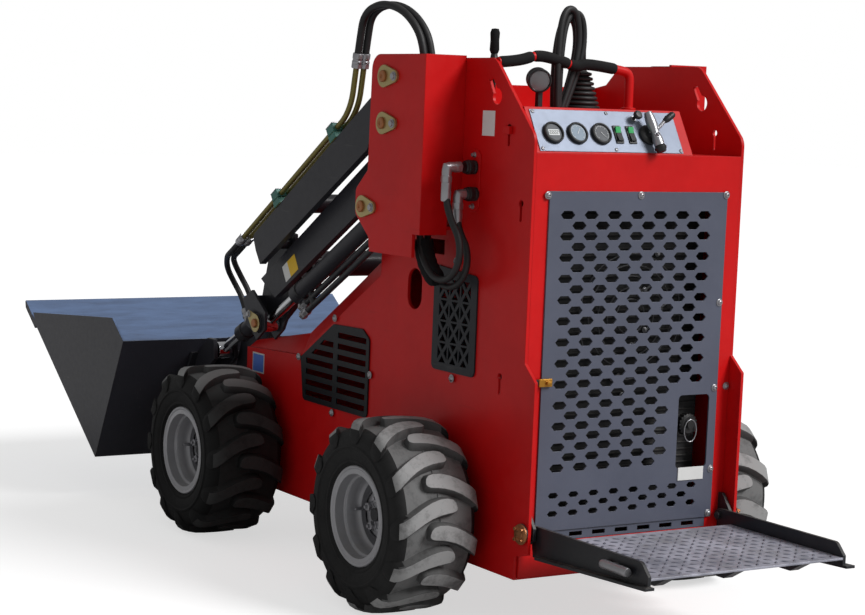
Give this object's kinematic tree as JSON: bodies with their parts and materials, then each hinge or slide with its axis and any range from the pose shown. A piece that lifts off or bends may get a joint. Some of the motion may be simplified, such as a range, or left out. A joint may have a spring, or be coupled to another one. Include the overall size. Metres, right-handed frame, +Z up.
{
  "type": "mini wheel loader",
  "caption": "Stand-on mini wheel loader with a red tower chassis, parallel lift arms, rolled-back bucket, skid-steered wheels and a folding rear platform.",
  "frame": {"origin": "on the floor, in the middle of the plan with the bucket rolled back and the platform down", "axes": "+X forwards to the bucket, +Y to the left, +Z up"},
  "size_m": [2.737, 1.1, 1.4014],
  "materials": {
    "red_paint": "gloss, a little worn",
    "grey_paint": "satin slate grey",
    "dark_paint": "satin anthracite",
    "black_paint": "satin black",
    "bucket_paint": "satin anthracite, worn",
    "tyre": "matt, dusty lugs",
    "rim_paint": "silver grey",
    "zinc": "yellow zinc",
    "steel": "brushed",
    "chrome": "polished rod",
    "rubber": "matt",
    "olive_zinc": "olive zinc",
    "worn_deck": "worn chequer plate",
    "black_plastic": "matt",
    "cast": "dull"
  },
  "bodies": {
    "chassis": {"arm_hoses": "rubber", "auxiliary_couplers": "steel", "belly_plate": "red_paint", "console": "red_paint", "control_levers": "black_plastic", "coupler_hoses": "rubber", "engine_block": "cast", "gauges": "black_plastic", "handlebar": "red_paint", "hood": "red_paint", "hose_brackets": "red_paint", "instrument_panel": "steel", "left_side_plate": "red_paint", "left_tower_plate": "red_paint", "lever_boot": "rubber", "platform_pivots": "black_paint", "rear_frame": "red_paint", "rear_grille": "grey_paint", "right_side_plate": "red_paint", "right_tower_plate": "red_paint", "side_louvres": "grey_paint", "side_vents": "grey_paint", "switches": "black_plastic", "tower_front_panel": "red_paint", "tower_pins": "zinc", "wheel_motors": "black_paint", "work_lamp": "black_plastic"},
    "front_left_wheel": {"front_left_tyre": "tyre", "front_left_rim": "rim_paint"},
    "front_right_wheel": {"front_right_tyre": "tyre", "front_right_rim": "rim_paint"},
    "rear_left_wheel": {"rear_left_tyre": "tyre", "rear_left_rim": "rim_paint"},
    "rear_right_wheel": {"rear_right_tyre": "tyre", "rear_right_rim": "rim_paint"},
    "lower_link": {"lower_links": "dark_paint"},
    "upper_link": {"upper_links": "dark_paint", "hard_lines": "olive_zinc"},
    "knuckle": {"knuckle_frame": "dark_paint", "tilt_hoses": "rubber"},
    "bucket": {"hitch_frame": "dark_paint", "bucket": "bucket_paint", "cutting_edge": "bucket_paint"},
    "lift_barrel": {"lift_barrels": "dark_paint"},
    "lift_rod": {"lift_rods": "chrome"},
    "tilt_barrel": {"tilt_barrels": "dark_paint"},
    "tilt_rod": {"tilt_rods": "chrome"},
    "platform": {"platform_arms": "black_paint", "platform_deck": "worn_deck"}
  },
  "joints": [
    {"name": "lift", "type": "hinge", "parent": "chassis", "child": "lower_link", "pos_m": [-0.4865, 0, 1.117], "axis": [0, -1, 0], "range_deg": [0, 82]},
    {"name": "knuckle_pivot", "type": "hinge", "parent": "lower_link", "child": "knuckle", "pos_m": [0.1185, 0, 0.682], "axis": [0, -1, 0], "range_deg": [-82, 0]},
    {"name": "upper_link_pivot", "type": "hinge", "parent": "chassis", "child": "upper_link", "pos_m": [-0.4865, 0, 1.225], "axis": [0, -1, 0], "range_deg": [0, 82], "deforming": ["arm_hoses"]},
    {"name": "bucket_tilt", "type": "hinge", "parent": "knuckle", "child": "bucket", "pos_m": [0.5935, 0, 0.215], "axis": [0, 1, 0], "range_deg": [0, 75], "deforming": ["tilt_hoses"]},
    {"name": "lift_barrel_pivot", "type": "hinge", "parent": "chassis", "child": "lift_barrel", "pos_m": [-0.4065, 0, 0.919], "axis": [0, -1, 0], "range_deg": [0, 83.28]},
    {"name": "lift_rod_slide", "type": "slide", "parent": "lift_barrel", "child": "lift_rod", "axis": [0.8601, 0, -0.5101], "range_m": [0, 0.1244]},
    {"name": "tilt_barrel_pivot", "type": "hinge", "parent": "knuckle", "child": "tilt_barrel", "pos_m": [0.0985, 0, 0.69], "axis": [0, 1, 0], "range_deg": [0, 1.13]},
    {"name": "tilt_rod_slide", "type": "slide", "parent": "tilt_barrel", "child": "tilt_rod", "axis": [0.8882, 0, -0.4595], "range_m": [0, 0.2926]},
    {"name": "platform_fold", "type": "hinge", "parent": "chassis", "child": "platform", "pos_m": [-0.9525, 0, 0.236], "axis": [0, 1, 0], "range_deg": [0, 80]},
    {"name": "front_left_spin", "type": "hinge", "parent": "chassis", "child": "front_left_wheel", "pos_m": [0.2885, 0, 0.225], "axis": [0, 1, 0], "continuous": true},
    {"name": "front_right_spin", "type": "hinge", "parent": "chassis", "child": "front_right_wheel", "pos_m": [0.2885, 0, 0.225], "axis": [0, 1, 0], "continuous": true},
    {"name": "rear_left_spin", "type": "hinge", "parent": "chassis", "child": "rear_left_wheel", "pos_m": [-0.6215, 0, 0.225], "axis": [0, 1, 0], "continuous": true},
    {"name": "rear_right_spin", "type": "hinge", "parent": "chassis", "child": "rear_right_wheel", "pos_m": [-0.6215, 0, 0.225], "axis": [0, 1, 0], "continuous": true}
  ],
  "couplings": [
    {"joint": "knuckle_pivot", "follows": "lift", "ratio": -1},
    {"joint": "upper_link_pivot", "follows": "lift", "ratio": 1},
    {"joint": "lift_barrel_pivot", "follows": "lift", "ratio": 1.0095},
    {"joint": "lift_rod_slide", "follows": "lift", "m_per_rad": 0.086239},
    {"joint": "tilt_barrel_pivot", "follows": "bucket_tilt", "ratio": 0.00837},
    {"joint": "tilt_rod_slide", "follows": "bucket_tilt", "m_per_rad": 0.22276}
  ]
}
